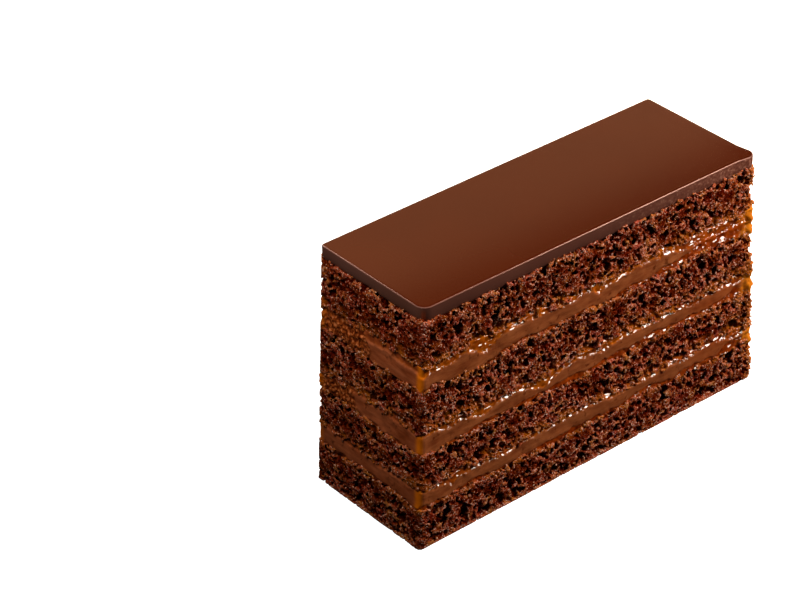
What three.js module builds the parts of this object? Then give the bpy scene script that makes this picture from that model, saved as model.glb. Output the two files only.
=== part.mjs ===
// A rectangular slice of chocolate torte: chocolate sponge layers with apricot jam between them
// and a poured chocolate glaze on top. Millimetres, +Z up, origin at the middle of the base.
// +X runs along the slice, and +Y runs across it.
import * as THREE from "three";
import { mergeVertices } from "three/addons/utils/BufferGeometryUtils.js";

// Driving dimensions of the slice
const TOP_LENGTH = 100;
const TOP_WIDTH = 35;
const CORNER_RADIUS = 2; // of the four upright edges
const END_FLARE = 2.5; // how far each short end stands out at the base
const SIDE_FLARE = 0.8; // how far each long side stands out at the base

// Thickness of the layers, from the base up
const SPONGE_THICKNESS = [10.4, 10.0, 11.9, 12.2];
const JAM_THICKNESS = [4.6, 4.9, 5.5];
const GLAZE_THICKNESS = 3.5;
const LAYER_GAP = 0.3; // clearance where two layers meet

// Waves of the levels where the layers meet: a long one and a short one across it
const WAVE_HEIGHT = 0.5;
const WAVES = [
  { length: 47, share: 0.6, slant: 1 },
  { length: 19, share: 0.4, slant: -0.7 },
];
const WAVE_SHIFT = 2.4; // phase from one level to the next, in radians
const WAVE_REACH = 3.5; // from a level's rim inwards to where it is flat
const GLAZE_WAVE_SHARE = 0.3; // the sponge under the glaze is nearly level

// Relief of the cut crumb
const CRUMB_DEPTH = 1.3; // the deepest pore
const CRUMB_SHIFT = 0.55; // how far a crumb lies from an even spacing

// The rims where two layers meet lie a little way in, here less and there more
const RIM_INSET = 0.35;
const RIM_RELIEF = 0.4;

// Relief of the jam's cut edge
const JAM_INSET = 0.35;
const LUMP_DEPTH = 0.35;
const LUMP_WAVES = [13, 5.3];

// Edge of the glaze
const GLAZE_INSET = 0.25; // the glaze stops just short of the crumb
const GLAZE_EDGE_RADIUS = 0.9; // rounding of the upper edge
const GLAZE_FOOT_HEIGHT = 0.7;

// Fineness of the facets
const OUTLINE_STEP = 2.6;
const CORNER_STEPS = 2;
const SPONGE_ROWS = 6;
const JAM_ROWS = 4;
const GLAZE_ROWS = 6;

// Numbers that spread the relief without a pattern
const SPREAD_STEPS = [12.9898, 78.233, 37.719, 53.117, 91.731];
const SPREAD_SCALE = 43758.5453;

const TURN = 2 * Math.PI;

const materials = {
  sponge: new THREE.MeshStandardMaterial({ color: 0x55301e, roughness: 0.85, metalness: 0 }),
  jam: new THREE.MeshStandardMaterial({ color: 0x9c5a22, roughness: 0.25, metalness: 0 }),
  glaze: new THREE.MeshStandardMaterial({ color: 0x66351f, roughness: 0.3, metalness: 0 }),
};

const sum = (numbers) => numbers.reduce((total, n) => total + n, 0);
const HEIGHT = sum(SPONGE_THICKNESS) + sum(JAM_THICKNESS) + GLAZE_THICKNESS;

// Levels where the layers meet, from the base to the top of the glaze
const levels = [0];
SPONGE_THICKNESS.forEach((thickness, i) => {
  levels.push(levels.at(-1) + thickness);
  levels.push(levels.at(-1) + (JAM_THICKNESS[i] ?? GLAZE_THICKNESS));
});
const GLAZE_LEVEL = levels.length - 2;
const TOP_LEVEL = levels.length - 1;

// A number from 0 to 1 that looks random and is always the same for the same place.
function chance(...place) {
  const spread = SPREAD_SCALE * Math.sin(sum(place.map((n, i) => n * SPREAD_STEPS[i])));
  return spread - Math.floor(spread);
}

// The slice's outline at its top, a rectangle with rounded corners.
function sliceShape() {
  const x = TOP_LENGTH / 2 - CORNER_RADIUS;
  const y = TOP_WIDTH / 2 - CORNER_RADIUS;
  const quarter = TURN / 4;
  const outline = new THREE.Path()
    .moveTo(-x, -y - CORNER_RADIUS)
    .lineTo(x, -y - CORNER_RADIUS)
    .absarc(x, -y, CORNER_RADIUS, -quarter, 0)
    .lineTo(x + CORNER_RADIUS, y)
    .absarc(x, y, CORNER_RADIUS, 0, quarter)
    .lineTo(-x, y + CORNER_RADIUS)
    .absarc(-x, y, CORNER_RADIUS, quarter, 2 * quarter)
    .lineTo(-x - CORNER_RADIUS, -y)
    .absarc(-x, -y, CORNER_RADIUS, 2 * quarter, 3 * quarter);
  const points = outline.curves.flatMap((curve) => {
    const steps = Math.max(CORNER_STEPS, Math.round(curve.getLength() / OUTLINE_STEP));
    return curve.getSpacedPoints(steps).slice(0, -1);
  });
  return new THREE.Shape(points);
}
const SLICE_SHAPE = sliceShape();

// The direction out of the slice at a point of its outline.
function outward(x, y) {
  const insideX = TOP_LENGTH / 2 - CORNER_RADIUS;
  const insideY = TOP_WIDTH / 2 - CORNER_RADIUS;
  const nearest = new THREE.Vector2(
    THREE.MathUtils.clamp(x, -insideX, insideX),
    THREE.MathUtils.clamp(y, -insideY, insideY),
  );
  return new THREE.Vector2(x, y).sub(nearest).normalize();
}

// The height of a level's rim at a point of the outline: flat at the base and the top, wavy between.
function rimHeight(level, x, y) {
  if (level === 0 || level === TOP_LEVEL) return levels[level];
  const wave = WAVES.map(({ length, share, slant }, i) => {
    const phase = (TURN * (x + slant * y)) / length + (i + 1) * WAVE_SHIFT * level;
    return share * Math.sin(phase);
  });
  return levels[level] + WAVE_HEIGHT * sum(wave) * (level === GLAZE_LEVEL ? GLAZE_WAVE_SHARE : 1);
}

// How far in a level's rim lies at a point of the outline. The two layers that meet there share it.
function rimInset(level, x, y) {
  if (level === TOP_LEVEL) return GLAZE_INSET + GLAZE_EDGE_RADIUS;
  return (level === 0 ? 0 : RIM_INSET) + RIM_RELIEF * chance(x, y, level);
}

// A layer between two levels. wall(row, x, y) says for each point between its rims what share of the
// layer's height it has, how far in it lies and how far along.
function layer(name, level, rows, wall, material) {
  const steps = rows + 2; // the first and the last step fold in over the rims, to the flat middles
  const block = new THREE.ExtrudeGeometry(SLICE_SHAPE, { depth: steps, steps, bevelEnabled: false });
  block.deleteAttribute("normal");
  block.deleteAttribute("uv");
  const geometry = mergeVertices(block);
  const position = geometry.attributes.position;
  for (let i = 0; i < position.count; i++) {
    const x = position.getX(i);
    const y = position.getY(i);
    const row = Math.round(position.getZ(i)) - 1;
    const folded = row < 0 || row > rows;
    let point = { height: row <= 0 ? 0 : 1, inset: 0, along: 0 };
    if (row === 0) point.inset = rimInset(level, x, y);
    else if (row === rows) point.inset = rimInset(level + 1, x, y);
    else if (!folded) point = wall(row, x, y);

    const low = folded ? levels[level] : rimHeight(level, x, y);
    const high = folded ? levels[level + 1] : rimHeight(level + 1, x, y);
    const foot = low + (level > 0 ? LAYER_GAP / 2 : 0);
    const head = high - (level + 1 < TOP_LEVEL ? LAYER_GAP / 2 : 0);
    const drop = 1 - THREE.MathUtils.lerp(low, high, point.height) / HEIGHT;
    const reach = folded ? WAVE_REACH : 0;
    const stretchX = (1 - (2 * reach) / TOP_LENGTH) * (1 + (drop * 2 * END_FLARE) / TOP_LENGTH);
    const stretchY = (1 - (2 * reach) / TOP_WIDTH) * (1 + (drop * 2 * SIDE_FLARE) / TOP_WIDTH);
    const out = outward(x, y);
    position.setXYZ(
      i,
      (x - out.x * point.inset - out.y * point.along) * stretchX,
      (y - out.y * point.inset + out.x * point.along) * stretchY,
      THREE.MathUtils.lerp(foot, head, point.height),
    );
  }
  geometry.computeVertexNormals();
  const mesh = new THREE.Mesh(geometry, material);
  mesh.name = name;
  return mesh;
}

// Cut crumb: every point of the wall is pulled in and aside by chance, few of them far.
function crumbWall(level, thickness) {
  return (row, x, y) => {
    const [pore, lift, aside] = [0, 1, 2].map((draw) => chance(x, y, level, row, draw));
    return {
      height: row / SPONGE_ROWS + (CRUMB_SHIFT * (2 * lift - 1)) / thickness,
      inset: CRUMB_DEPTH * pore ** 2,
      along: CRUMB_SHIFT * (2 * aside - 1),
    };
  };
}

// Jam: a smooth edge with soft lumps along it.
function jamWall(level) {
  return (row, x, y) => {
    const height = row / JAM_ROWS;
    const lumps = LUMP_WAVES.map((wave, i) => Math.sin((TURN * (x - y)) / wave + (i + 1) * level));
    const lump = (LUMP_DEPTH * sum(lumps)) / lumps.length;
    return { height, inset: JAM_INSET - lump * Math.sin((TURN / 2) * height), along: 0 };
  };
}

// Glaze: an upright edge that is rounded over at the top.
function glazeWall(row) {
  if (row === 1) return { height: GLAZE_FOOT_HEIGHT / GLAZE_THICKNESS, inset: GLAZE_INSET, along: 0 };
  const turned = ((row - 2) / (GLAZE_ROWS - 2)) * (TURN / 4);
  const below = GLAZE_EDGE_RADIUS * (1 - Math.sin(turned));
  const inset = GLAZE_INSET + GLAZE_EDGE_RADIUS * (1 - Math.cos(turned));
  return { height: 1 - below / GLAZE_THICKNESS, inset, along: 0 };
}

const slice = new THREE.Group();
slice.name = "torte_slice";
SPONGE_THICKNESS.forEach((thickness, i) => {
  const level = 2 * i;
  slice.add(layer(`sponge_${i + 1}`, level, SPONGE_ROWS, crumbWall(level, thickness), materials.sponge));
});
JAM_THICKNESS.forEach((thickness, i) => {
  const level = 2 * i + 1;
  slice.add(layer(`jam_${i + 1}`, level, JAM_ROWS, jamWall(level), materials.jam));
});
slice.add(layer("glaze", GLAZE_LEVEL, GLAZE_ROWS, glazeWall, materials.glaze));

export default slice;
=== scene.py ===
"""Looks of a rectangular slice of chocolate torte: porous sponge, wet jam and a satin glaze.

Lengths are in millimetres and become metres where a mesh, a light or the camera is made. The slice lies
along x, with its front at -y and its right end at +x.
"""

import math
from types import SimpleNamespace

import bpy
import numpy as np
import openvdb
from mathutils import Matrix, Vector


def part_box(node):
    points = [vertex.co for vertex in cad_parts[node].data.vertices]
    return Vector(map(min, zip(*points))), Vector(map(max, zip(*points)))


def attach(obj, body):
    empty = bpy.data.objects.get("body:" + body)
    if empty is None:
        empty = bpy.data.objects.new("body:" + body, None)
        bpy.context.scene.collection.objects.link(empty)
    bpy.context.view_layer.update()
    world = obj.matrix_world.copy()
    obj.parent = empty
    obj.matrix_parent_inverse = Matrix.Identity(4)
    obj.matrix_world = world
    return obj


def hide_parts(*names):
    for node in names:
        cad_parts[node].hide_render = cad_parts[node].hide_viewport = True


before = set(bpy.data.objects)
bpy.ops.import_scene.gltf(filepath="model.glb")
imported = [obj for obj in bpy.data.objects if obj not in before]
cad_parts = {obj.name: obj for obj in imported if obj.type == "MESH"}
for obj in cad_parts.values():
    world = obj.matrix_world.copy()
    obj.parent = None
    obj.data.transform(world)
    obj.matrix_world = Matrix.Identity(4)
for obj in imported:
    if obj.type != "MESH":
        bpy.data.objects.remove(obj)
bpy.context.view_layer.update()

MM = 0.001
SQUARE_CM = 100  # in square millimetres

# The slice, as its solids have it apart from the last two values
LAYERS = ["sponge_1", "jam_1", "sponge_2", "jam_2", "sponge_3", "jam_3", "sponge_4", "glaze"]
TOP_LENGTH = 100
TOP_WIDTH = 35
END_FLARE = 2.5
SIDE_FLARE = 0.8
WAVE_HEIGHT = 0.5
WAVES = [(47, 0.6, 1), (19, 0.4, -0.7)]  # length, share of the height, slant across the slice
WAVE_SHIFT = 2.4
WAVE_REACH = 3.5
GLAZE_WAVE_SHARE = 0.3
CORNER_RADIUS = 1.2  # of the upright edges, which the crumb's hollows round further
RIM_LIFT = 0.5  # how far the borders of the jam are dragged up at the cut

# Camera, at the photograph's viewing angle
AZIMUTH = -39.32
ELEVATION = 33.22
ROLL = -0.93
DISTANCE = 669.7
AIM_HEIGHT = 30
ASIDE = -32.51
ABOVE = 4.59
SENSOR = 36
LENS = 130

# Seeds of the random numbers. Sponge, jam and skin add the layer's number
SPONGE_SEED = 100
JAM_SEED = 200
GLAZE_SEED = 300
SKIN_SEED = 400

# Fineness of the pieces
VOXEL = 0.2
MARGIN = 1.5  # of the voxels around a layer of sponge
SPONGE_ADAPTIVITY = 0.05
SPONGE_TRIANGLES = 185000
JAM_STEP = 0.25
JAM_ROWS = 33
GLAZE_STEP = 0.6
GLAZE_EDGE_STEPS = 8
CORNER_POINTS = 13

# Crumb: its relief, as lump sizes with heights
CRUMB_HOLLOWS = [(3.4, 0.6), (1.7, 0.7)]
CRUMB_GRAINS = [(0.75, 0.4), (0.42, 0.6)]
CRUMB_REACH = 3  # depth at which the relief has faded out
CRUMB_LEVEL = 0.15  # how far lumps stand out between the hollows at most
CRUMB_SWELL = 0.3  # how far the crumb is filled out before its hollows are made
CRUMB_PROUD = 0.3  # how far a crumb stands out of the cut at most
HOLLOW_DEPTH = 2.5  # the deepest hollow
EDGE_LOSS = 1.6  # how much less deep hollows are at an upright edge
EDGE_REACH = 3
BASE_RIM = 1.5  # height over which the crumb is closer at the base
BASE_RELIEF = 0.1  # the share of the relief that is left at the base

# The right front edge is more ragged
RAGGED_REACH = 5
RAGGED_PROUD = 0.7  # how much further crumbs stand out there
RAGGED_RELIEF = 0.3  # how much deeper the relief is, as a share
EDGE_FULL = 0.7  # both have their whole effect within the last 30% of the reach

# Crumbs stray over the borders of a layer, twice as far at the back of the short ends
CRUMB_FRAY = 0.42
CRUMB_FRAY_LUMPS = [(1.6, 1), (0.7, 1)]
FRAY_END = (-2, 0)  # distance from an end over which this begins
FRAY_BACK = (-10, 0)  # and place across the slice

# Pores: the smallest and the largest radius and how many there are in a square centimetre of the cut face
PORES = [(0.8, 1.4, 7), (0.45, 0.8, 22), (0.26, 0.45, 50)]
PORE_SHAPE = (0.7, 1.3)  # the range of its three radii, as shares
PORE_DEPTH = (-0.2, 1.2)  # of its middle, in radii
PORE_CLEAR = 1.6  # how far a pore's middle stays from an edge, in radii
PORE_EDGE = 1  # and how much further from an upright edge
PORE_BASE = 0.3  # and from the base
PORE_BEYOND = 0.5  # how far above and below the layer a middle may lie
PORE_RAGGED = 0.45  # how far crumbs reach into a pore, as a share of its radius
PORE_LUMPS = [(0.9, 1), (0.45, 0.7)]

# Crumb colour with painted shade and light: darker where the crumb crowds around a place, as shade in its
# pores, and lighter on thin edges, as light through them
CRUMB_NEAR = 5  # grid points around a place that tell a thin edge from a pore
CRUMB_AROUND = 13
CRUMB_AROUND_SHARE = 0.9
SPONGE_PAINTED_SHADE_AND_LIGHT_COLOURS = [
    (0.0, (0.33, 0.09, 0.03)),
    (0.2, (0.18, 0.0285, 0.0056)),
    (0.4, (0.092, 0.0102, 0.0011)),
    (0.6, (0.048, 0.0033, 0.0002)),
    (0.75, (0.024, 0.0012, 0.0)),
]
SPONGE_TINTS = [(0.34, (1, 0.62, 0.9)), (0.5, (1, 0.85, 0.8)), (0.66, (1, 1.1, 0.5))]
SPONGE_NOISE = {
    "mottle": {"Scale": 480.0, "Detail": 3.0},
    "grain": {"Scale": 1700.0, "Detail": 2.0, "Roughness": 0.6},
    "hues": {"Scale": 330.0, "Detail": 3.0},
    "patches": {"Scale": 260.0, "Detail": 2.0},
    "glints": {"Scale": 2400.0, "Detail": 1.0},
    "damp": {"Scale": 2300.0, "Detail": 1.0},
}
MOTTLE_SHARE = 0.9
GRAIN_SHARE = -1.15
CROWD_SHIFT = 0.115  # brings the sum of both back to the ramp's middle
CREST_RANGE = (0.45, 0.2)  # crowding over which a place becomes a crest
GLINT_RANGE = (0.605, 0.68)
DAMP_RANGE = (0.5, 0.6, 0.0, 0.55)
SPONGE_PAINTED_GLINT_COLOUR = (0.55, 0.3, 0.2, 1)

# Jam soaked into the crumb, and light through the crumb of the right front edge, painted into its colour
SOAK_UP = 3.2
SOAK_DOWN = 1.6
SOAK_DOWN_SHARE = 0.6
SOAK_RANGE = (0.42, 0.62)
SPONGE_SOAK_COLOUR = (0.36, 0.088, 0.004, 1)
RIM_REACH = 4  # along the slice
RIM_NARROW = 2.5  # how much shorter it is across the slice
RIM_FULL = 0.8
SPONGE_PAINTED_BACKLIGHT_COLOUR = (0.45, 0.12, 0.016, 1)

# Jam: the smeared skin along the cut, as places along the slice with the skin's lower and upper edge in
# shares of the layer's height
JAM_SKIN = {
    1: [
        (-50, 0.4, 0.88), (-46, 0.26, 0.86), (-43.5, 0.18, 0.72), (-42.5, 0.26, 0.5), (-40, 0.26, 0.86),
        (-36, 0.4, 0.86), (-30, 0.26, 0.86), (-25, 0.15, 0.9), (-20, 0.2, 0.86), (-14, 0.42, 0.82),
        (-10, 0.4, 0.9), (0, 0.3, 0.92), (12, 0.3, 0.92), (15, 0.5, 0.92), (20, 0.45, 0.92),
        (26, 0.3, 0.94), (29.5, 0.6, 0.8), (33, 0.5, 0.9), (40, 0.3, 0.92), (44.5, 0.7, 0.7),
    ],
    3: [
        (-50, 0.12, 0.9), (-46, 0.12, 0.8), (-42.5, 0.26, 0.7), (-40, 0.2, 0.86), (-36, 0.26, 0.7),
        (-33, 0.3, 0.46), (-31, 0.26, 0.6), (-28, 0.26, 0.84), (-24, 0.26, 0.94), (-20, 0.28, 0.8),
        (-17.5, 0.26, 0.5), (-15, 0.2, 0.35), (-12, 0.32, 0.6), (-8, 0.38, 0.88), (-1, 0.34, 0.9),
        (2, 0.32, 0.66), (8, 0.48, 0.82), (14, 0.38, 0.92), (18, 0.6, 0.92), (24, 0.32, 0.94),
        (28.5, 0.34, 0.94), (31, 0.45, 0.7), (36, 0.42, 0.88), (42, 0.45, 0.84), (45.5, 0.66, 0.66),
    ],
    5: [
        (-50, 0.26, 0.68), (-38, 0.1, 0.74), (-35.5, 0.1, 0.64), (-33, 0.13, 0.46), (-31, 0.13, 0.46),
        (-27, 0.28, 0.84), (-22, 0.3, 0.88), (-1, 0.2, 0.86), (1.5, 0.23, 0.58), (6, 0.3, 0.8),
        (12, 0.34, 0.86), (19, 0.3, 0.8), (21, 0.48, 0.74), (24, 0.4, 0.84), (30, 0.62, 0.62),
    ],
}
JAM_SKIN_SAG = 0.22  # how much lower the lower edge hangs than listed
JAM_END_SKIN = {1: (0.0, 0.97), 3: (0.0, 0.97), 5: (-0.1, 0.75)}  # the edges on the short ends
SKIN_LOW_RIPPLES = [(2.3, 0.06), (0.7, 0.05)]  # length and height
SKIN_HIGH_RIPPLES = [(1.9, 0.06), (0.55, 0.05)]
END_BLEND = 1  # half the width over which a long side turns into an end

# Relief of the jam, as lump sizes with heights
JAM_SOFT_LUMPS = [(5, 0.22), (1.6, 0.1)]
JAM_DROPS = [(1.1, 0.15), (0.6, 0.12)]  # on wet jam
JAM_ROUGH_LUMPS = [(0.9, 0.3), (0.5, 0.25)]  # where it is torn
JAM_SINK = 0.3  # how far wet jam lies behind the skin
JAM_SKIN_SLOPE = (-0.1, 0.45)  # depth inside its edges over which the skin rises
JAM_LAP = 0.45  # how far the jam reaches into the crumb above and below
JAM_RUN = {1: 0.9, 3: 1.8, 5: 1.1}  # how far it has run down at the left front edge
JAM_TONGUE = 1.9  # half the width of the run
JAM_CORNER_REACH = 2.4
JAM_CORNER_FULL = 0.6
JAM_CORNER_SWELL = 0.12  # how far it stands out at the upright edges
JAM_BULGE = 0.6  # at the right front edge
JAM_BULGE_LUMP = 1.7

# Where the jam is torn and full of crumbs: beyond a place across an end, on a ragged border
JAM_TORN = {1: 30, 3: 3, 5: 1.5}
JAM_TORN_SHIFT = 6  # how much later it begins on the right end, where it lies towards the front
JAM_TORN_BLEND = (-1.5, 1.5)
JAM_TORN_STRAY = [(3.5, 2.5), (1.3, 1.5)]

# Wet jam above and below the skin. Ranges are depths inside the skin's edges, heights above its upper edge
# or places along the slice
JAM_WET_RANGE = (-0.2, 0.2)
JAM_BARE = {1: 0.3, 3: 0.3, 5: 1.0}  # how much of the skin is gone at the right
JAM_BARE_RANGE = (27, 36)
JAM_LINE = {1: 0.5, 3: 0.75, 5: 0.78}  # how bright the wet edge above the skin is
JAM_LINE_HEIGHT = 0.1
JAM_LINE_RANGE = (0.1, 0.36)
JAM_LINE_RIGHT = (20, 32)
JAM_LINE_LOSS = 0.7  # how much of its brightness is gone at the right
JAM_OPEN_RANGE = (0.2, 0.6)
JAM_OPEN_LINE = 0.8  # how bright open jam above the line is, as a share
JAM_BELOW_RANGE = (0.1, 0.5)
JAM_RIGHT = (0, 25)
JAM_GLOSS = 1.4
JAM_GLOSS_RIGHT = 0.4  # how much more it shines at the right
JAM_OPEN_GLOSS = 0.45
JAM_BELOW_GLOSS = 0.5
JAM_GLOSS_CORNER = (1.5, 3)  # distance from an upright edge over which the gloss begins
JAM_END_LOSS = {"wet": 0.4, "line": 0.8, "gloss": 0.6}  # how much less of each an end has

# Light through thin jam at the upright edges, and light through the jam of the right front edge, both
# painted into its colour
JAM_THIN_STRETCH = (2.2, 0.85)
JAM_THIN_START = 1.3
JAM_THIN_REACH = 1.7
JAM_THIN_BACK = (0.6, 0.25)  # how much of it the left and the right back edge have
JAM_GLOW = 0.9
JAM_GLOW_REACH = 5  # along the slice
JAM_GLOW_NARROW = 1.6  # how much shorter it is across the slice
JAM_GLOW_FULL = 0.9
JAM_GLOW_STRAY = [(1.8, 1.3)]

# Jam colour
JAM_SKIN_COLOURS = [(0.34, (0.138, 0.0305, 0.008)), (0.66, (0.245, 0.07, 0.021))]
JAM_LEFT_END_PAINTED_LIGHT_COLOURS = [(0.36, (0.18, 0.034, 0.0085)), (0.64, (0.295, 0.072, 0.024))]
JAM_WET_COLOURS = [(0.35, (0.135, 0.0155, 0.001)), (0.65, (0.235, 0.034, 0.002))]
JAM_TORN_COLOURS = [
    (0.4, (0.07, 0.009, 0.0012)),
    (0.55, (0.23, 0.045, 0.007)),
    (0.68, (0.46, 0.13, 0.04)),
]
JAM_LINE_COLOUR = (0.42, 0.098, 0.002, 1)
JAM_CRUMB_COLOUR = (0.05, 0.008, 0.001, 1)
JAM_THIN_LIT_THROUGH_COLOUR = (0.56, 0.12, 0.002, 1)
JAM_GLOW_COLOUR = (0.5, 0.145, 0.008, 1)
JAM_STREAKS = (110.0, 110.0, 420.0)  # streaks and beads to the metre along each axis
JAM_BEADS = (480.0, 480.0, 1000.0)
JAM_NOISE = {
    "streaks": {"Scale": 1.0, "Detail": 5.0, "Roughness": 0.65},
    "beads": {"Scale": 1.0, "Detail": 1.0},
    "flecks": {"Scale": 600.0, "Detail": 3.0},
    "drawn": {"Scale": 420.0, "Detail": 3.0},
    "crumbs": {"Scale": 1300.0, "Detail": 2.0},
    "runs": {"Scale": 700.0, "Detail": 2.0},
}
FLECK_RANGE = (0.62, 0.72, 0.0, 0.7)
BROKEN_RANGE = (0.4, 0.6, 0.35, 1.0)
RUN_RANGE = (0.46, 0.56, 0.05, 1.0)

# Glaze: inset and share of the height along its side, and inset, drop and raggedness of its foot
GLAZE_CORNERS = (2.2, 0.9, 0.8, 2.6)  # right front, right back, left back and left front
GLAZE_FOOT = [(1.6, 0.9, 0), (0.6, 0.5, 1)]
GLAZE_BULGE = [(0.2, 0.03), (0.05, 0.2), (-0.03, 0.5), (-0.02, 0.7)]
GLAZE_SIDE_RAGGED = 0.6
GLAZE_RAGGED = [(9, 0.3), (3, 0.2)]  # gap in outline points and height
GLAZE_EDGE = 0.33
GLAZE_TOP_INSETS = (0.8, 1.6, 2.6)
GLAZE_SWELL = 0.8  # how far the glaze stands out at the right front corner
GLAZE_SWELL_REACH = 6
GLAZE_SWELL_INSET = 1.2  # where this has faded out
GLAZE_RIDGE_REACH = 3  # a redder ridge runs down the left front corner
GLAZE_RIDGE_WIDTH = (0.3, 0.9)
GLAZE_RIDGE_DROP = (0.8, 1.4)
GLAZE_END_BLEND = 0.5
GLAZE_TOP_COLOURS = [(0.3, (0.044, 0.0048, 0.0)), (0.7, (0.049, 0.0055, 0.0))]
GLAZE_SIDE_COLOURS = [(0.35, (0.061, 0.0192, 0.0117)), (0.7, (0.078, 0.025, 0.015))]
GLAZE_SPECKLED_COLOURS = [
    (0.35, (0.075, 0.02, 0.0112)),
    (0.55, (0.14, 0.045, 0.026)),
    (0.7, (0.3, 0.14, 0.093)),
]
GLAZE_END_PAINTED_LIGHT_COLOURS = [(0.35, (0.075, 0.025, 0.0145)), (0.7, (0.09, 0.033, 0.021))]
GLAZE_PAINTED_EDGE_HIGHLIGHT_COLOUR = (0.17, 0.07, 0.05, 1)
GLAZE_RIDGE_COLOUR = (0.13, 0.022, 0.007, 1)
GLAZE_SHEEN_COLOUR = (1, 0.62, 0.48, 1)
GLAZE_ROUGHNESS = (0.17, 0.5)  # of the top and the sides
GLAZE_NOISE = {
    "clouds": {"Scale": 60.0, "Detail": 2.0},
    "specks": {"Scale": 1800.0, "Detail": 3.0},
}

# Stage
FLOOR_REACH = 3000
FLOOR_COLOUR = (0.8, 0.8, 0.8, 1)
FLOOR_ROUGHNESS = 0.9
FLOOR_GLOW = 0.8
WHITE = (1, 1, 1, 1)
WORLD_STRENGTH = 0.03
LIGHTS = [
    {
        "name": "key",
        "place": (184, -172, 215),
        "aim": (0, -17, 35),
        "size": (95, 95),
        "power": 1.5,
        "colour": (1, 0.92, 0.86),
    },
    {
        "name": "sparkle",
        "place": (175, -290, 95),
        "aim": (0, -17, 35),
        "size": (160, 160),
        "power": 3.0,
        "colour": (1, 0.89, 0.77),
        "diffuse": False,
        "on_glaze": False,
    },
    {
        "name": "fill",
        "place": (-112, -15, 170),
        "aim": (-50, 0, 35),
        "size": (80, 80),
        "power": 0.21,
        "glossy": False,
    },
    {
        "name": "rim",
        "place": (240, 180, 150),
        "aim": (40, 0, 35),
        "size": (120, 120),
        "power": 1.2,
        "colour": (1, 0.7, 0.45),
        "glossy": False,
    },
    {
        "name": "back",
        "place": (82, 100, 124),
        "aim": (82, 0, 124),
        "size": (180, 64),
        "power": 0.042,
        "colour": (1, 0.55, 0.28),
        "diffuse": False,
    },
    {
        "name": "edge",
        "place": (-130, 290, 310),
        "aim": (-50, 0, 63),
        "size": (130, 130),
        "power": 1.05,
        "colour": (1, 0.83, 0.74),
        "diffuse": False,
    },
]
CUT_PIECES = bpy.data.collections.new("cut pieces")  # sponge and jam, for lights that leave the glaze out

# Sockets of a node that mixes two colours
MIX_FIRST = 6
MIX_SECOND = 7
MIX_RESULT = 2


def layer_levels():
    """Heights where the layers meet, from the base to the top of the glaze."""
    boxes = [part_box(name) for name in LAYERS]
    between = [(below[1].z + above[0].z) / 2 for below, above in zip(boxes, boxes[1:])]
    return [height / MM for height in (boxes[0][0].z, *between, boxes[-1][1].z)]


LEVELS = layer_levels()
HEIGHT = LEVELS[-1]
GLAZE_LEVEL = len(LEVELS) - 2


def smooth_step(low, high, value):
    """0 below low, 1 above high and smooth between."""
    share = np.clip((value - low) / (high - low), 0, 1)
    return share * share * (3 - 2 * share)


def nearness(distance, reach, full):
    """1 within a share of 1 - full of the reach, falling smoothly to 0 at the reach."""
    return smooth_step(0, full, 1 - distance / reach)


def half_sizes(z):
    """Half the slice's length and width at a height."""
    drop = 1 - z / HEIGHT
    return TOP_LENGTH / 2 + END_FLARE * drop, TOP_WIDTH / 2 + SIDE_FLARE * drop


def wall_distance(x, y, z):
    """Distance from the slice's sides, less than zero inside."""
    half_x, half_y = half_sizes(z)
    across_x = np.abs(x) - half_x + CORNER_RADIUS
    across_y = np.abs(y) - half_y + CORNER_RADIUS
    outside = np.hypot(np.maximum(across_x, 0), np.maximum(across_y, 0))
    return outside + np.minimum(np.maximum(across_x, across_y), 0) - CORNER_RADIUS


def short_end(x, y, half_x, half_y, blend):
    """1 on the slice's short ends and 0 on its long sides."""
    return smooth_step(-blend, blend, np.abs(x) - half_x - np.abs(y) + half_y)


def level_height(level, x, y):
    """Height of a level at a place: wavy along the sides, flat in the middle, at the base and at the top."""
    if level in (0, len(LEVELS) - 1):
        return LEVELS[level] + 0 * x + 0 * y
    wave = 0
    for i, (length, share, slant) in enumerate(WAVES):
        wave = wave + share * np.sin(math.tau * (x + slant * y) / length + (i + 1) * WAVE_SHIFT * level)
    reach = np.clip(1 + wall_distance(x, y, LEVELS[level]) / WAVE_REACH, 0, 1)
    if level == GLAZE_LEVEL:
        return LEVELS[level] + reach * WAVE_HEIGHT * GLAZE_WAVE_SHARE * wave
    return LEVELS[level] + reach * (WAVE_HEIGHT * wave + RIM_LIFT)


def new_mesh(name, points, faces):
    """A mesh of triangles."""
    mesh = bpy.data.meshes.new(name)
    mesh.vertices.add(len(points))
    mesh.vertices.foreach_set("co", points.astype(np.float32).ravel())
    mesh.loops.add(3 * len(faces))
    mesh.loops.foreach_set("vertex_index", faces.astype(np.int32).ravel())
    mesh.polygons.add(len(faces))
    mesh.polygons.foreach_set("loop_start", np.arange(0, 3 * len(faces), 3, np.int32))
    mesh.update(calc_edges=True)
    return mesh


def add_piece(name, points, faces, slot, material, attributes):
    """A smooth-shaded piece of the slice that stands for the solid of the same layer."""
    mesh = new_mesh(name, points * MM, faces)
    mesh.shade_smooth()
    for label, values in attributes.items():
        mesh.attributes.new(label, "FLOAT", "POINT").data.foreach_set("value", values.astype(np.float32))
    mesh.materials.append(material)
    piece = bpy.data.objects.new(name + "_cut", mesh)
    bpy.context.scene.collection.objects.link(piece)
    if slot != "glaze":
        CUT_PIECES.objects.link(piece)
    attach(piece, "root")
    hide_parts(name)


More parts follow.
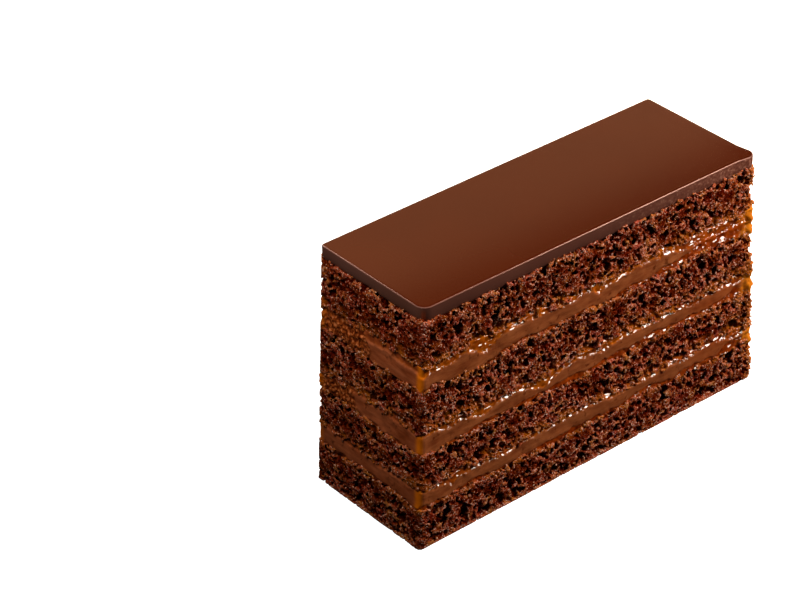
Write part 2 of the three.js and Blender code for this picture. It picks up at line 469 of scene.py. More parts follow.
def rounded_outline(radii, step):
    """Points of the slice's top outline, anticlockwise from the right front, and their ways outward."""
    arcs = []
    turns = ((1, -1, -90), (1, 1, 0), (-1, 1, 90), (-1, -1, 180))
    for (side_x, side_y, start), radius in zip(turns, radii):
        middle = np.array([side_x * (TOP_LENGTH / 2 - radius), side_y * (TOP_WIDTH / 2 - radius)])
        angles = np.radians(np.linspace(start, start + 90, CORNER_POINTS))
        ways = np.column_stack([np.cos(angles), np.sin(angles)])
        arcs.append((middle + radius * ways, ways))
    points = []
    outward = []
    for (arc, ways), (next_arc, next_ways) in zip(arcs, arcs[1:] + arcs[:1]):
        count = round(np.linalg.norm(next_arc[0] - arc[-1]) / step)
        side = np.linspace(arc[-1], next_arc[0], count, endpoint=False)[1:]
        points += [arc, side]
        outward += [ways, np.tile(next_ways[0], (count - 1, 1))]
    return np.concatenate(points), np.concatenate(outward)


def loft(rings, under, over):
    """Points and triangles of a closed body through rings, with a middle point under and over them."""
    count = len(rings[0])
    around = np.arange(count)
    beside = (around + 1) % count
    points = np.concatenate([[under], *rings, [over]])
    faces = [np.column_stack([1 + beside, 1 + around, np.zeros(count, int)])]
    for ring in range(len(rings) - 1):
        here = 1 + ring * count
        faces.append(np.column_stack([here + around, here + beside, here + count + beside]))
        faces.append(np.column_stack([here + around, here + count + beside, here + count + around]))
    last = 1 + (len(rings) - 1) * count
    faces.append(np.column_stack([last + around, last + beside, np.full(count, len(points) - 1)]))
    return points, np.concatenate(faces)


def grid_axes(level):
    """The grid of points around a layer, as three axes that broadcast against each other."""
    half_x, half_y = half_sizes(LEVELS[level])
    low = LEVELS[level] - MARGIN
    high = LEVELS[level + 1] + MARGIN
    x = np.arange(-half_x - MARGIN, half_x + MARGIN, VOXEL, np.float32)
    y = np.arange(-half_y - MARGIN, half_y + MARGIN, VOXEL, np.float32)
    z = np.arange(low, high, VOXEL, np.float32)
    return x[:, None, None], y[None, :, None], z[None, None, :]


def smooth_noise(rng, axes, cell):
    """Random values from -1 to 1 that run smoothly over a grid, with lumps about as wide as cell."""
    weights = []
    for axis in axes:
        place = (axis.ravel() - axis.ravel()[0]) / cell
        left = np.floor(place).astype(int)
        share = place - left
        share = share * share * (3 - 2 * share)
        weight = np.zeros((len(place), left[-1] + 2), np.float32)
        rows = np.arange(len(place))
        weight[rows, left] = 1 - share
        weight[rows, left + 1] = share
        weights.append(weight)
    values = rng.uniform(-1, 1, [weight.shape[1] for weight in weights]).astype(np.float32)
    for weight in weights:
        values = np.tensordot(values, weight, axes=(0, 1))
    return values


def noise_sum(rng, axes, sizes, start=0):
    """Noise of several lump sizes and heights on top of a start."""
    total = start
    for cell, height in sizes:
        total = total + height * smooth_noise(rng, axes, cell)
    return total


def wall_places(rng, clear, low, high):
    """Random places over the slice's sides, each clear of the upright edges, and the way inwards there."""
    count = len(clear)
    z = rng.uniform(low, high, count)
    half_x, half_y = half_sizes(z)
    long_side = rng.uniform(0, 1, count) < TOP_LENGTH / (TOP_LENGTH + TOP_WIDTH)
    side = rng.choice([-1.0, 1.0], count)
    along = rng.uniform(-1, 1, count)
    x = np.where(long_side, along * (half_x - clear), side * half_x)
    y = np.where(long_side, side * half_y, along * (half_y - clear))
    inward = np.stack([np.where(long_side, 0, -side), np.where(long_side, -side, 0), 0 * z], axis=1)
    return np.stack([x, y, z], axis=1), inward


def carve(field, axes, centre, radii, crumbs):
    """Takes a pore with crumbs in it out of a field of distances."""
    spans = []
    for axis, middle, radius in zip(axes, centre, radii):
        start = axis.ravel()[0]
        first = max(0, int((middle - radius - start) / VOXEL) - 1)
        last = min(axis.size, int((middle + radius - start) / VOXEL) + 3)
        if first >= last:
            return
        spans.append(slice(first, last))
    x, y, z = (axis.ravel()[span] for axis, span in zip(axes, spans))
    reach = np.sqrt(
        ((x - centre[0]) / radii[0])[:, None, None] ** 2
        + ((y - centre[1]) / radii[1])[None, :, None] ** 2
        + ((z - centre[2]) / radii[2])[None, None, :] ** 2
    )
    block = field[spans[0], spans[1], spans[2]]
    reach = reach + PORE_RAGGED * crumbs[spans[0], spans[1], spans[2]]
    np.maximum(block, (1 - reach) * min(radii), out=block)


def field_mesh(field, axes):
    """Points and triangles of the surface where a field of distances is zero."""
    grid = openvdb.FloatGrid(float(field.max()))
    grid.copyFromArray(np.ascontiguousarray(field, np.float32))
    grid.transform = openvdb.createLinearTransform(voxelSize=VOXEL)
    points, triangles, quads = grid.convertToPolygons(isovalue=0.0, adaptivity=SPONGE_ADAPTIVITY)
    points = points + np.array([axis.ravel()[0] for axis in axes])
    faces = np.concatenate([triangles, quads[:, [0, 1, 2]], quads[:, [0, 2, 3]]]).astype(np.int64)
    return points, faces[:, ::-1]


def fewer_triangles(points, faces, most):
    """The same surface with about the given number of triangles, fewest where it is flattest."""
    mesh = new_mesh("dense", points, faces)
    dense = bpy.data.objects.new("dense", mesh)
    bpy.context.scene.collection.objects.link(dense)
    dense.modifiers.new("fewer", "DECIMATE").ratio = min(1, most / len(faces))
    view = bpy.context.evaluated_depsgraph_get()
    thinned = bpy.data.meshes.new_from_object(dense.evaluated_get(view))
    bpy.data.objects.remove(dense)
    bpy.data.meshes.remove(mesh)
    points = np.empty(3 * len(thinned.vertices), np.float32)
    thinned.vertices.foreach_get("co", points)
    thinned.calc_loop_triangles()
    faces = np.empty(3 * len(thinned.loop_triangles), np.int32)
    thinned.loop_triangles.foreach_get("vertices", faces)
    bpy.data.meshes.remove(thinned)
    return points.reshape(-1, 3).astype(float), faces.reshape(-1, 3)


def largest_island(points, faces):
    """The faces of the mesh's largest connected part, with the points that they use."""
    label = np.arange(len(points))
    edges = np.concatenate([faces[:, [0, 1]], faces[:, [1, 2]], faces[:, [2, 0]]])
    while True:
        lowest = np.minimum(label[edges[:, 0]], label[edges[:, 1]])
        new = label.copy()
        np.minimum.at(new, edges[:, 0], lowest)
        np.minimum.at(new, edges[:, 1], lowest)
        np.minimum.at(new, label[edges[:, 0]], lowest)
        np.minimum.at(new, label[edges[:, 1]], lowest)
        new = new[new]
        if np.array_equal(new, label):
            break
        label = new
    main = np.bincount(label).argmax()
    kept = faces[label[faces[:, 0]] == main]
    used, renumbered = np.unique(kept, return_inverse=True)
    return points[used], renumbered.reshape(-1, 3)


def box_blur(values, width):
    """Means over a box of the given width in grid points."""
    for axis in range(3):
        pad = [(0, 0)] * 3
        pad[axis] = (width // 2 + 1, width // 2)
        total = np.cumsum(np.pad(values, pad, "edge"), axis=axis, dtype=np.float64)
        ahead = np.take(total, np.arange(width, total.shape[axis]), axis=axis)
        behind = np.take(total, np.arange(0, total.shape[axis] - width), axis=axis)
        values = ((ahead - behind) / width).astype(np.float32)
    return values


def sample(values, axes, points):
    """The grid's values at the grid points nearest to the given points."""
    index = []
    for axis, place in zip(axes, points.T):
        nearest = np.rint((place - axis.ravel()[0]) / VOXEL).astype(int)
        index.append(np.clip(nearest, 0, axis.size - 1))
    return values[index[0], index[1], index[2]]


def sponge_field(rng, level, axes):
    """Distances from a layer of sponge with craggy sides, less than zero inside."""
    x, y, z = axes
    wall = wall_distance(x, y, z)
    half_x, half_y = half_sizes(z)
    at_back = smooth_step(*FRAY_END, np.abs(x) - half_x) * smooth_step(*FRAY_BACK, y)
    frayed = (1 + at_back) * CRUMB_FRAY * noise_sum(rng, axes, CRUMB_FRAY_LUMPS)
    under = level_height(level, x, y) - z
    if level > 0:
        under = under + frayed
    over = z - level_height(level + 1, x, y) + frayed
    field = np.maximum(wall - CRUMB_SWELL, np.maximum(under, over)).astype(np.float32)

    relief = np.maximum(noise_sum(rng, axes, CRUMB_HOLLOWS), -CRUMB_LEVEL)
    relief = noise_sum(rng, axes, CRUMB_GRAINS, relief)
    fade = np.clip(1 + wall / CRUMB_REACH, 0, 1)
    if level == 0:
        fade = fade * np.clip(BASE_RELIEF + (1 - BASE_RELIEF) * z / BASE_RIM, BASE_RELIEF, 1)
    from_edge = np.hypot(half_x - np.abs(x), half_y - np.abs(y))
    deepest = HOLLOW_DEPTH - EDGE_LOSS * nearness(from_edge, EDGE_REACH, EDGE_FULL)
    ragged = nearness(np.hypot(half_x - x, half_y + y), RAGGED_REACH, EDGE_FULL)
    field += np.minimum(relief * fade, deepest) * (1 + RAGGED_RELIEF * ragged)
    proud = CRUMB_PROUD + RAGGED_PROUD * ragged
    np.maximum(field, wall - proud, out=field)
    return field


def carve_pores(rng, level, axes, field):
    """Takes pores of several sizes out of a layer's sides."""
    low = LEVELS[level]
    high = LEVELS[level + 1]
    area = 2 * (TOP_LENGTH + TOP_WIDTH) * (high - low) / SQUARE_CM
    crumbs = noise_sum(rng, axes, PORE_LUMPS)
    for smallest, largest, density in PORES:
        count = int(density * area)
        radii = rng.uniform(smallest, largest, (count, 1)) * rng.uniform(*PORE_SHAPE, (count, 3))
        clear = PORE_CLEAR * radii.max(axis=1) + PORE_EDGE
        places, inward = wall_places(rng, clear, low - PORE_BEYOND, high + PORE_BEYOND)
        depth = radii.mean(axis=1) * rng.uniform(*PORE_DEPTH, count)
        centres = places + inward * depth[:, None]
        if level == 0:
            centres[:, 2] = np.maximum(centres[:, 2], PORE_CLEAR * radii[:, 2] + PORE_BASE)
        for centre, egg in zip(centres, radii):
            carve(field, axes, centre, egg, crumbs)


def sponge_looks(level, axes, field, points):
    """What the sponge's material needs at each point."""
    filled = (field < 0).astype(np.float32)
    near = sample(box_blur(box_blur(filled, CRUMB_NEAR), CRUMB_NEAR), axes, points)
    around = sample(box_blur(box_blur(filled, CRUMB_AROUND), CRUMB_AROUND), axes, points)
    # crowd: how closely crumb fills the space around a point, which the material turns into painted shade
    # and light
    crowd = near + CRUMB_AROUND_SHARE * (around - 0.5)
    x, y, z = points.T
    soak = 0 * z
    if level > 0:
        soak = np.clip(1 - (z - level_height(level, x, y)) / SOAK_UP, 0, 1)
    if level + 1 < GLAZE_LEVEL:
        down = np.clip(1 - (level_height(level + 1, x, y) - z) / SOAK_DOWN, 0, 1)
        soak = np.maximum(soak, SOAK_DOWN_SHARE * down)
    half_x, half_y = half_sizes(z)
    # rim: nearness to the right front edge, where light through the crumb is painted in
    rim = nearness(np.hypot(half_x - x, RIM_NARROW * (half_y + y)), RIM_REACH, RIM_FULL)
    return {"crowd": crowd, "soak": soak, "rim": rim}


def sponge_piece(level, material):
    """A layer of sponge with an open crumb in its cut sides."""
    rng = np.random.default_rng(SPONGE_SEED + level)
    axes = grid_axes(level)
    field = sponge_field(rng, level, axes)
    carve_pores(rng, level, axes, field)
    if level == 0:
        np.maximum(field, -axes[2], out=field)
    points, faces = fewer_triangles(*field_mesh(field, axes), SPONGE_TRIANGLES)
    points, faces = largest_island(points, faces)
    looks = sponge_looks(level, axes, field, points)
    add_piece(LAYERS[level], points, faces, "sponge", material, looks)


def ripple_sum(rng, along, ripples, start):
    """Random waves of several lengths and heights along a line, on top of a start."""
    total = start
    for length, height in ripples:
        places = np.arange(-TOP_LENGTH, TOP_LENGTH, length)
        total = total + height * np.interp(along, places, rng.uniform(-1, 1, len(places)))
    return total


def skin_edges(level, x, y):
    """The skin's lower and upper edge beside a place, in shares of the layer's height."""
    rng = np.random.default_rng(SKIN_SEED + level)
    half_x, half_y = half_sizes(LEVELS[level])
    place, low, high = np.array(JAM_SKIN[level]).T
    along = np.where(y < 0, x, -x)
    across = np.where(x < 0, y, -y)
    low = np.interp(along, place, low) - JAM_SKIN_SAG
    high = np.interp(along, place, high)
    on_end = short_end(x, y, half_x, half_y, END_BLEND)
    end_low, end_high = JAM_END_SKIN[level]
    low = low + on_end * (end_low - low)
    high = high + on_end * (end_high - high)
    around = along + across
    low = ripple_sum(rng, around, SKIN_LOW_RIPPLES, low)
    high = ripple_sum(rng, around, SKIN_HIGH_RIPPLES, high)
    return low, high


def lumps(rng, places, cell):
    """Random values from -1 to 1 at places, running smoothly from one to the next within about a cell."""
    grid = (places - places.reshape(-1, 3).min(axis=0)) / cell
    corner = np.floor(grid).astype(int)
    share = smooth_step(0, 1, grid - corner)
    values = rng.uniform(-1, 1, corner.reshape(-1, 3).max(axis=0) + 2)
    total = 0
    for offset in np.ndindex(2, 2, 2):
        weight = np.prod(np.where(offset, share, 1 - share), axis=-1)
        x, y, z = np.moveaxis(corner + offset, -1, 0)
        total = total + weight * values[x, y, z]
    return total


def lump_sum(rng, places, sizes, start=0):
    """Lumps of several sizes and heights on top of a start."""
    total = start
    for cell, height in sizes:
        total = total + height * lumps(rng, places, cell)
    return total


def jam_wall(level, outline):
    """The jam's cut edge before its relief: rows of places, and how they lie to the slice and the skin."""
    half_x, half_y = half_sizes((LEVELS[level] + LEVELS[level + 1]) / 2)
    x = (outline[:, 0] * 2 * half_x / TOP_LENGTH)[None]
    y = (outline[:, 1] * 2 * half_y / TOP_WIDTH)[None]
    tongue = np.sqrt(np.clip(1 - (np.hypot(x + half_x, y + half_y) / JAM_TONGUE) ** 2, 0, 1))
    low = level_height(level, x, y) - JAM_LAP - JAM_RUN[level] * tongue
    high = level_height(level + 1, x, y) + JAM_LAP
    z = low + np.linspace(0, 1, JAM_ROWS)[:, None] * (high - low)
    half_x, half_y = half_sizes(z)
    x = outline[None, :, 0] * 2 * half_x / TOP_LENGTH
    y = outline[None, :, 1] * 2 * half_y / TOP_WIDTH

    floor = level_height(level, x, y)
    thickness = level_height(level + 1, x, y) - floor
    skin_low, skin_high = skin_edges(level, x, y)
    return SimpleNamespace(
        x=x,
        y=y,
        places=np.stack([x, y, z], axis=-1),
        half_x=half_x,
        half_y=half_y,
        from_corner=np.hypot(half_x - np.abs(x), half_y - np.abs(y)),
        on_end=short_end(x, y, half_x, half_y, END_BLEND),
        depth=np.minimum(z - floor - skin_low * thickness, floor + skin_high * thickness - z),
        above=z - floor - skin_high * thickness,
    )


def jam_relief(rng, level, wall):
    """How far the jam stands out at each place, and where it is torn."""
    x, y, places = wall.x, wall.y, wall.places
    cover = smooth_step(*JAM_SKIN_SLOPE, wall.depth)
    at_corner = nearness(wall.from_corner, JAM_CORNER_REACH, JAM_CORNER_FULL)
    soft = lump_sum(rng, places, JAM_SOFT_LUMPS)
    drops = lump_sum(rng, places, JAM_DROPS)
    across = np.where(x < 0, y, -y - JAM_TORN_SHIFT) + lump_sum(rng, places, JAM_TORN_STRAY)
    torn = wall.on_end * smooth_step(*JAM_TORN_BLEND, across - JAM_TORN[level])
    rough = lump_sum(rng, places, JAM_ROUGH_LUMPS)
    bulge = JAM_BULGE + JAM_BULGE * lumps(rng, places, JAM_BULGE_LUMP)
    bulge = np.where((x > 0) & (y < 0), bulge, JAM_CORNER_SWELL)
    out = -JAM_SINK + JAM_SINK * cover + soft + (1 - cover) * (1 - at_corner) * drops
    return out + torn * rough + at_corner * bulge, torn


def jam_looks(rng, level, wall, torn):
    """What the jam's material needs at each place."""
    x, y = wall.x, wall.y
    on_end = wall.on_end
    wet = (1 - smooth_step(*JAM_WET_RANGE, wall.depth)) * (1 - JAM_END_LOSS["wet"] * on_end)
    wet = np.maximum(wet, JAM_BARE[level] * smooth_step(*JAM_BARE_RANGE, x) * (1 - on_end))

    line = 1 - smooth_step(*JAM_LINE_RANGE, np.abs(wall.above - JAM_LINE_HEIGHT))
    line = line * (1 - JAM_END_LOSS["line"] * on_end)
    open_jam = smooth_step(*JAM_OPEN_RANGE, wall.above)
    at_right = smooth_step(*JAM_RIGHT, x)
    below = smooth_step(*JAM_BELOW_RANGE, -wall.depth) * (wall.above < 0) * at_right
    gloss = np.maximum(np.maximum(line, JAM_OPEN_GLOSS * open_jam), JAM_BELOW_GLOSS * below)
    gloss = gloss * (JAM_GLOSS + JAM_GLOSS_RIGHT * at_right) * (1 - JAM_END_LOSS["gloss"] * on_end)
    gloss = gloss * smooth_step(*JAM_GLOSS_CORNER, wall.from_corner)
    line = np.maximum(line, JAM_OPEN_LINE * open_jam * (1 - on_end)) * JAM_LINE[level]
    line = line * (1 - JAM_LINE_LOSS * smooth_step(*JAM_LINE_RIGHT, x))

    # Painted light through thin jam at the upright edges
    along, across = JAM_THIN_STRETCH
    from_edge = np.hypot(along * (wall.half_x - np.abs(x)), across * (wall.half_y - np.abs(y)))
    thin_lit_through = smooth_step(0, 1, JAM_THIN_START - from_edge / JAM_THIN_REACH)
    thin_lit_through = thin_lit_through * np.where(y < 0, 1, np.where(x < 0, *JAM_THIN_BACK))
    # Painted glow of light through the jam at the right front edge
    from_right = np.hypot(wall.half_x - x, JAM_GLOW_NARROW * (wall.half_y + y))
    from_right = lump_sum(rng, wall.places, JAM_GLOW_STRAY, from_right)
    glow = JAM_GLOW * nearness(from_right, JAM_GLOW_REACH, JAM_GLOW_FULL)
    # The left end, which the material gives a lighter skin colour as painted light against its shade
    left_end = on_end * (x < 0)
    return {
        "wet": wet,
        "line": line,
        "thin_lit_through": thin_lit_through,
        "gloss": gloss,
        "end": left_end,
        "torn": torn,
        "glow": glow,
    }


def jam_piece(level, material):
    """A layer of jam: a smeared skin along its cut edge, with wet jam where the skin ends."""
    rng = np.random.default_rng(JAM_SEED + level)
    outline, outward = rounded_outline((CORNER_RADIUS,) * 4, JAM_STEP)
    wall = jam_wall(level, outline)
    out, torn = jam_relief(rng, level, wall)
    wall.places[..., :2] += outward[None] * out[..., None]
    looks = jam_looks(rng, level, wall, torn)

    inner = 1 - 2 * WAVE_REACH / TOP_WIDTH
    under = np.array([0, 0, LEVELS[level] - JAM_LAP])
    over = np.array([0, 0, LEVELS[level + 1] + JAM_LAP])
    lowest = wall.places[0] * (inner, inner, 0) + under
    highest = wall.places[-1] * (inner, inner, 0) + over
    points, faces = loft([lowest, *wall.places, highest], under, over)
    attributes = {}
    for label, values in looks.items():
        attributes[label] = np.concatenate([[0], values[0], values.ravel(), values[-1], [0]])
    add_piece(LAYERS[level], points, faces, "jam", material, attributes)


def glaze_profile():
    """The glaze's side from its foot to its top, as inset, height and raggedness."""
    foot, top = LEVELS[-2:]
    profile = [(inset, foot - drop, ragged) for inset, drop, ragged in GLAZE_FOOT]
    for inset, share in GLAZE_BULGE:
        profile.append((inset, foot + share * (top - foot), GLAZE_SIDE_RAGGED * (1 - share) ** 3))
    for i in range(GLAZE_EDGE_STEPS + 1):
        angle = i / GLAZE_EDGE_STEPS * math.pi / 2
        inset = GLAZE_EDGE * (1 - math.cos(angle))
        profile.append((inset, top - GLAZE_EDGE * (1 - math.sin(angle)), 0))
    return profile + [(inset, top, 0) for inset in GLAZE_TOP_INSETS]


def glaze_looks(points):
    """What the glaze's material needs at each point."""
    x, y, z = points.T
    half_x = TOP_LENGTH / 2
    half_y = TOP_WIDTH / 2
    drop = LEVELS[-1] - z
    side = smooth_step(0.5 * GLAZE_EDGE, GLAZE_EDGE, drop)
    # edge: the band along the rounded top edge, which gets a painted highlight
    edge = smooth_step(0, 0.25 * GLAZE_EDGE, drop) * (1 - side)
    front_corner = np.hypot(x + half_x, y + half_y) < GLAZE_RIDGE_REACH
    ridge = (1 - smooth_step(*GLAZE_RIDGE_WIDTH, np.abs(x + half_x - y - half_y))) * front_corner
    ridge = ridge * smooth_step(*GLAZE_RIDGE_DROP, drop)
    # end: the short ends, which get a lighter cut colour as painted light
    end = short_end(x, y, half_x, half_y, GLAZE_END_BLEND)
    return {"side": side, "edge": edge, "ridge": ridge, "end": end}


def glaze_piece(material):
    """The glaze, lofted from rings that round its upper edge over."""
    rng = np.random.default_rng(GLAZE_SEED)
    outline, outward = rounded_outline(GLAZE_CORNERS, GLAZE_STEP)
    count = len(outline)
    ragged = 0
    for gap, height in GLAZE_RAGGED:
        knots = count // gap + 2
        places = np.linspace(0, count, knots)
        ragged = ragged + height * np.interp(np.arange(count), places, rng.uniform(-1, 1, knots))
    half = np.array([TOP_LENGTH / 2, TOP_WIDTH / 2])
    from_corner = np.hypot(outline[:, 0] - half[0], outline[:, 1] + half[1])
    swollen = nearness(from_corner, GLAZE_SWELL_REACH, 1)[:, None]
    rings = []
    profile = glaze_profile()
    for inset, height, ragged_share in profile:
        ring = np.clip(outline - outward * inset, inset - half, half - inset)
        ring = ring + outward * swollen * GLAZE_SWELL * smooth_step(GLAZE_SWELL_INSET, 0, inset)
        rings.append(np.column_stack([ring, height + ragged_share * ragged]))
    points, faces = loft(rings, (0, 0, profile[0][1]), (0, 0, LEVELS[-1]))
    add_piece("glaze", points, faces, "glaze", material, glaze_looks(points))


def feed(tree, socket, value):
    """Links a socket to another one, or sets its value."""
    if isinstance(value, bpy.types.NodeSocket):
        tree.links.new(value, socket)
    else:
        socket.default_value = value


def add_node(tree, kind, settings=None, **inputs):
    """A node with its settings and its inputs, whose names have _ for a space."""
    node = tree.nodes.new(kind)
    for key, value in (settings or {}).items():
        setattr(node, key, value)
    for key, value in inputs.items():
        feed(tree, node.inputs[key.replace("_", " ")], value)
    return node


def object_place(tree):
    """A point's place on the piece, in metres."""
    return add_node(tree, "ShaderNodeTexCoord").outputs["Object"]


def stretched(tree, place, scale):
    """A place stretched by a scale along each axis."""
    return add_node(tree, "ShaderNodeMapping", Vector=place, Scale=scale).outputs["Vector"]


def attribute(tree, name):
    """A value that a piece has at its points."""
    return add_node(tree, "ShaderNodeAttribute", {"attribute_name": name}).outputs["Fac"]


def noise(tree, place, inputs):
    """Values around a half that run smoothly from place to place."""
    return add_node(tree, "ShaderNodeTexNoise", Vector=place, **inputs).outputs["Fac"]


def calculate(tree, operation, *values):
    """The result of an operation on values."""
    node = add_node(tree, "ShaderNodeMath", {"operation": operation})
    for socket, value in zip(node.inputs, values):
        feed(tree, socket, value)
    return node.outputs["Value"]


def remap(tree, value, from_low, from_high, to_low=0.0, to_high=1.0):
    """A value taken from one range to another, and held to it."""
    node = add_node(tree, "ShaderNodeMapRange", Value=value, From_Min=from_low, From_Max=from_high)
    node.inputs["To Min"].default_value = to_low
    node.inputs["To Max"].default_value = to_high
    return node.outputs["Result"]


def ramp(tree, value, stops):
    """The colour for a value between stops of place and colour."""
    node = add_node(tree, "ShaderNodeValToRGB", Fac=value)
    elements = node.color_ramp.elements
    while len(elements) < len(stops):
        elements.new(1.0)
    for element, (place, colour) in zip(elements, stops):
        element.position = place
        element.color = (*colour, 1)
    return node.outputs["Color"]


def mix(tree, share, first, second, blend="MIX"):
    """The first colour, with a share of the second."""
    node = add_node(tree, "ShaderNodeMix", {"data_type": "RGBA", "blend_type": blend}, Factor=share)
    feed(tree, node.inputs[MIX_FIRST], first)
    feed(tree, node.inputs[MIX_SECOND], second)
    return node.outputs[MIX_RESULT]


def bump(tree, height, strength, distance):
    """Normals bent by a height, with a distance in metres."""
    node = add_node(tree, "ShaderNodeBump", Height=height, Strength=strength, Distance=distance)
    return node.outputs["Normal"]


def new_material(name):
    """A node material and its tree."""
    material = bpy.data.materials.new(name)
    material.use_nodes = True
    return material, material.node_tree


def set_shader(tree, looks):
    """Links or sets the shader's inputs."""
    shader = tree.nodes["Principled BSDF"]
    for key, value in looks.items():
        feed(tree, shader.inputs[key], value)


def sponge_material():
    """Chocolate crumb: painted shade in its pores, painted light on thin edges and at the right front edge,
    painted glints on crests, orange where jam soaked in.
    """
    material, tree = new_material("sponge")
    place = object_place(tree)
    noises = {name: noise(tree, place, inputs) for name, inputs in SPONGE_NOISE.items()}
    crowd = calculate(tree, "MULTIPLY_ADD", noises["mottle"], MOTTLE_SHARE, attribute(tree, "crowd"))
    crowd = calculate(tree, "MULTIPLY_ADD", noises["grain"], GRAIN_SHARE, crowd)
    crowd = calculate(tree, "ADD", crowd, CROWD_SHIFT)
    crest = remap(tree, crowd, *CREST_RANGE)
    tint = ramp(tree, noises["hues"], SPONGE_TINTS)
    # The ramp over crowding paints shade into the pores and light onto thin crumb edges
    colour = mix(tree, 1.0, ramp(tree, crowd, SPONGE_PAINTED_SHADE_AND_LIGHT_COLOURS), tint, "MULTIPLY")
    soaked = remap(tree, noises["patches"], *SOAK_RANGE)
    soaked = calculate(tree, "MULTIPLY", attribute(tree, "soak"), soaked)
    colour = mix(tree, soaked, colour, SPONGE_SOAK_COLOUR)
    # Painted light through the crumb's crests at the right front edge
    lit_through = calculate(tree, "MULTIPLY", attribute(tree, "rim"), crest)
    colour = mix(tree, lit_through, colour, SPONGE_PAINTED_BACKLIGHT_COLOUR)
    # Painted glints: light specks on the crests
    specks = calculate(tree, "MULTIPLY", remap(tree, noises["glints"], *GLINT_RANGE), crest)
    colour = mix(tree, specks, colour, SPONGE_PAINTED_GLINT_COLOUR)
    grain = bump(tree, noises["grain"], 1.0, 0.0008)
    looks = {
        "Base Color": colour,
        "Roughness": 0.6,
        "Specular IOR Level": 0.0,
        "Coat Weight": calculate(tree, "MULTIPLY", remap(tree, noises["damp"], *DAMP_RANGE), crest),
        "Coat Roughness": 0.2,
        "Normal": grain,
        "Coat Normal": grain,
    }
    set_shader(tree, looks)
    return material


def jam_material():
    """Apricot jam: a smeared satin skin, wet and orange where it is torn, with painted light through thin
    jam at its edges, a painted glow at the right front edge and a lighter skin painted on the shaded left
    end.
    """
    material, tree = new_material("jam")
    place = object_place(tree)
    places = {"streaks": stretched(tree, place, JAM_STREAKS), "beads": stretched(tree, place, JAM_BEADS)}
    noises = {name: noise(tree, places.get(name, place), inputs) for name, inputs in JAM_NOISE.items()}
    skin = ramp(tree, noises["streaks"], JAM_SKIN_COLOURS)
    painted_light_end_skin = ramp(tree, noises["streaks"], JAM_LEFT_END_PAINTED_LIGHT_COLOURS)
    # A lighter skin on the left end: painted light against its shade
    colour = mix(tree, attribute(tree, "end"), skin, painted_light_end_skin)
    colour = mix(tree, remap(tree, noises["flecks"], *FLECK_RANGE), colour, JAM_CRUMB_COLOUR)
    colour = mix(tree, attribute(tree, "wet"), colour, ramp(tree, noises["drawn"], JAM_WET_COLOURS))
    broken = remap(tree, noises["drawn"], *BROKEN_RANGE)
    line = calculate(tree, "MULTIPLY", attribute(tree, "line"), broken)
    colour = mix(tree, line, colour, JAM_LINE_COLOUR)
    colour = mix(tree, attribute(tree, "torn"), colour, ramp(tree, noises["crumbs"], JAM_TORN_COLOURS))
    # Painted light through thin jam at the upright edges
    colour = mix(tree, attribute(tree, "thin_lit_through"), colour, JAM_THIN_LIT_THROUGH_COLOUR)
    # Painted glow of light through the jam at the right front edge
    colour = mix(tree, attribute(tree, "glow"), colour, JAM_GLOW_COLOUR)
    patchy = remap(tree, noises["runs"], *RUN_RANGE)
    looks = {
        "Base Color": colour,
        "Roughness": 0.45,
        "Specular IOR Level": 0.0,
        "Coat Weight": calculate(tree, "MULTIPLY", attribute(tree, "gloss"), patchy),
        "Coat Roughness": 0.03,
        "Coat IOR": 1.65,
        "Normal": bump(tree, noises["streaks"], 0.4, 0.0004),
        "Coat Normal": bump(tree, noises["beads"], 1.0, 0.0009),
    }
    set_shader(tree, looks)
    return material


def glaze_material():
    """Chocolate glaze: satin on top with a painted highlight along its top edge, duller on its cut sides,
    lighter and speckled towards the right, and painted lighter on its ends.
    """
    material, tree = new_material("glaze")
    place = object_place(tree)
    noises = {name: noise(tree, place, inputs) for name, inputs in GLAZE_NOISE.items()}
    side = attribute(tree, "side")
    satin = ramp(tree, noises["clouds"], GLAZE_TOP_COLOURS)
    along = add_node(tree, "ShaderNodeSeparateXYZ", Vector=place).outputs["X"]
    # The cut sides turn lighter and speckled towards the right end
    speckled_to_right = remap(tree, along, 0.0, 0.5 * TOP_LENGTH * MM)
    smooth_cut = ramp(tree, noises["clouds"], GLAZE_SIDE_COLOURS)
    cut = mix(tree, speckled_to_right, smooth_cut, ramp(tree, noises["specks"], GLAZE_SPECKLED_COLOURS))
    # The ends get a lighter cut colour: painted light that lifts the shaded left end, and the right end with
    # it
    cut = mix(tree, attribute(tree, "end"), cut, ramp(tree, noises["clouds"], GLAZE_END_PAINTED_LIGHT_COLOURS))
    cut = mix(tree, attribute(tree, "ridge"), cut, GLAZE_RIDGE_COLOUR)
    # A painted highlight along the rounded top edge
    satin_with_painted_highlight = mix(tree, attribute(tree, "edge"), satin, GLAZE_PAINTED_EDGE_HIGHLIGHT_COLOUR)
    looks = {
        "Base Color": mix(tree, side, satin_with_painted_highlight, cut),
        "Roughness": remap(tree, side, 0.0, 1.0, *GLAZE_ROUGHNESS),
        "Specular IOR Level": 0.3,
        "Specular Tint": GLAZE_SHEEN_COLOUR,
    }
    set_shader(tree, looks)
    return material


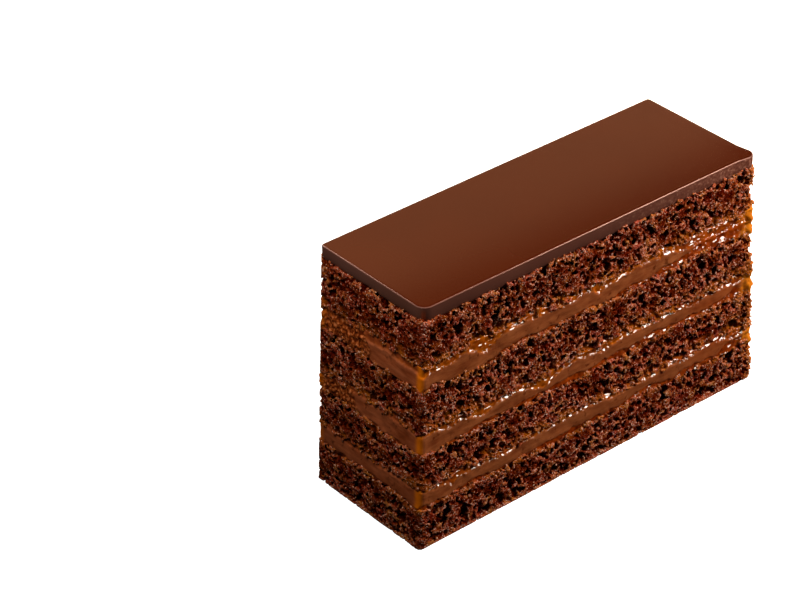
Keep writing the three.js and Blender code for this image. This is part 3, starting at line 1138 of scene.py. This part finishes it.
def add_camera():
    """The camera of the photograph: a long lens, level but for a slight roll."""
    azimuth = math.radians(AZIMUTH)
    elevation = math.radians(ELEVATION)
    roll = math.radians(ROLL)
    back = Vector(
        (
            math.sin(azimuth) * math.cos(elevation),
            -math.cos(azimuth) * math.cos(elevation),
            math.sin(elevation),
        )
    )
    level_right = Vector((math.cos(azimuth), math.sin(azimuth), 0))
    level_up = back.cross(level_right)
    right = math.cos(roll) * level_right + math.sin(roll) * level_up
    up = math.cos(roll) * level_up - math.sin(roll) * level_right
    data = bpy.data.cameras.new("camera")
    data.sensor_width = SENSOR
    data.lens = LENS
    camera = bpy.data.objects.new("camera", data)
    bpy.context.scene.collection.objects.link(camera)
    place = Vector((0, 0, AIM_HEIGHT)) + ASIDE * right + ABOVE * up + DISTANCE * back
    camera.matrix_world = Matrix.Translation(place * MM) @ Matrix((right, up, back)).transposed().to_4x4()
    bpy.context.scene.camera = camera


def add_light(name, place, aim, size, power, colour=(1, 1, 1), diffuse=True, glossy=True, on_glaze=True):
    """A soft rectangular light that faces a point, out of the camera's sight."""
    data = bpy.data.lights.new(name, "AREA")
    data.shape = "RECTANGLE"
    data.size = size[0] * MM
    data.size_y = size[1] * MM
    data.energy = power
    data.color = colour
    light = bpy.data.objects.new(name, data)
    bpy.context.scene.collection.objects.link(light)
    light.location = Vector(place) * MM
    light.rotation_euler = (Vector(aim) - Vector(place)).to_track_quat("-Z", "Y").to_euler()
    light.visible_camera = False
    light.visible_diffuse = diffuse
    light.visible_glossy = glossy
    if not on_glaze:
        light.light_linking.receiver_collection = CUT_PIECES


def add_floor():
    """A plain pale floor, which neither colours the slice nor shows in its gloss."""
    mesh = bpy.data.meshes.new("floor")
    reach = FLOOR_REACH * MM
    corners = [(-reach, -reach, 0), (reach, -reach, 0), (reach, reach, 0), (-reach, reach, 0)]
    mesh.from_pydata(corners, [], [(0, 1, 2, 3)])
    material, tree = new_material("floor")
    looks = {
        "Base Color": FLOOR_COLOUR,
        "Roughness": FLOOR_ROUGHNESS,
        "Emission Color": WHITE,
        "Emission Strength": FLOOR_GLOW,
    }
    set_shader(tree, looks)
    mesh.materials.append(material)
    floor = bpy.data.objects.new("floor", mesh)
    bpy.context.scene.collection.objects.link(floor)
    floor.visible_glossy = False
    floor.visible_diffuse = False


def add_world():
    """An even, weak light from all around."""
    world = bpy.data.worlds.new("world")
    bpy.context.scene.world = world
    world.use_nodes = True
    background = world.node_tree.nodes["Background"]
    background.inputs["Color"].default_value = WHITE
    background.inputs["Strength"].default_value = WORLD_STRENGTH
    bpy.context.scene.view_settings.view_transform = "Standard"


add_camera()
add_floor()
add_world()
for light in LIGHTS:
    add_light(**light)
sponge_look = sponge_material()
jam_look = jam_material()
for level in range(0, GLAZE_LEVEL, 2):
    sponge_piece(level, sponge_look)
for level in range(1, GLAZE_LEVEL, 2):
    jam_piece(level, jam_look)
glaze_piece(glaze_material())
